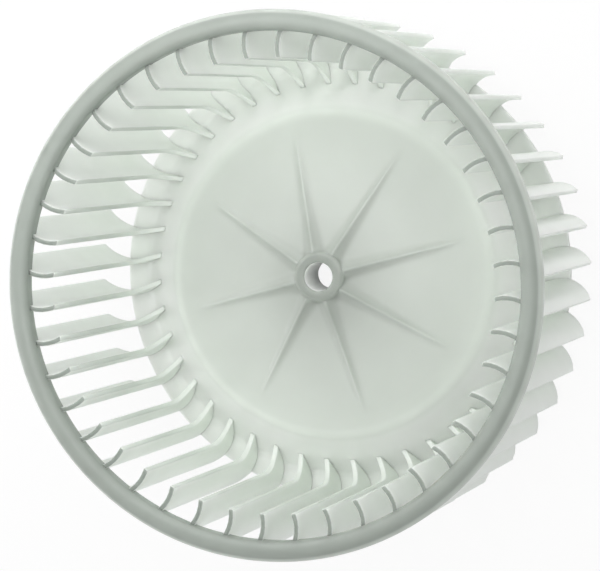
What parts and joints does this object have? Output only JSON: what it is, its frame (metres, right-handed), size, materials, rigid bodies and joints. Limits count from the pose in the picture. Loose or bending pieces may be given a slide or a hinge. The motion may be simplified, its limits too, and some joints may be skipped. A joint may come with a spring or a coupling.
{
  "type": "blower wheel",
  "caption": "Squirrel-cage blower wheel moulded in translucent plastic, with curved blades between an inlet ring and a dished, ribbed back plate that has a plain bored hub.",
  "frame": {"origin": "bottom centre: on the wheel's axis, in the plane of its back end", "axes": "+Z along the axis from the back plate to the inlet ring; +X through one rib of the back plate"},
  "size_m": [0.146, 0.146, 0.085],
  "materials": {
    "moulding": "natural translucent polypropylene, satin as moulded"
  },
  "bodies": {
    "root": {"blower_wheel": "moulding"}
  },
  "joints": []
}
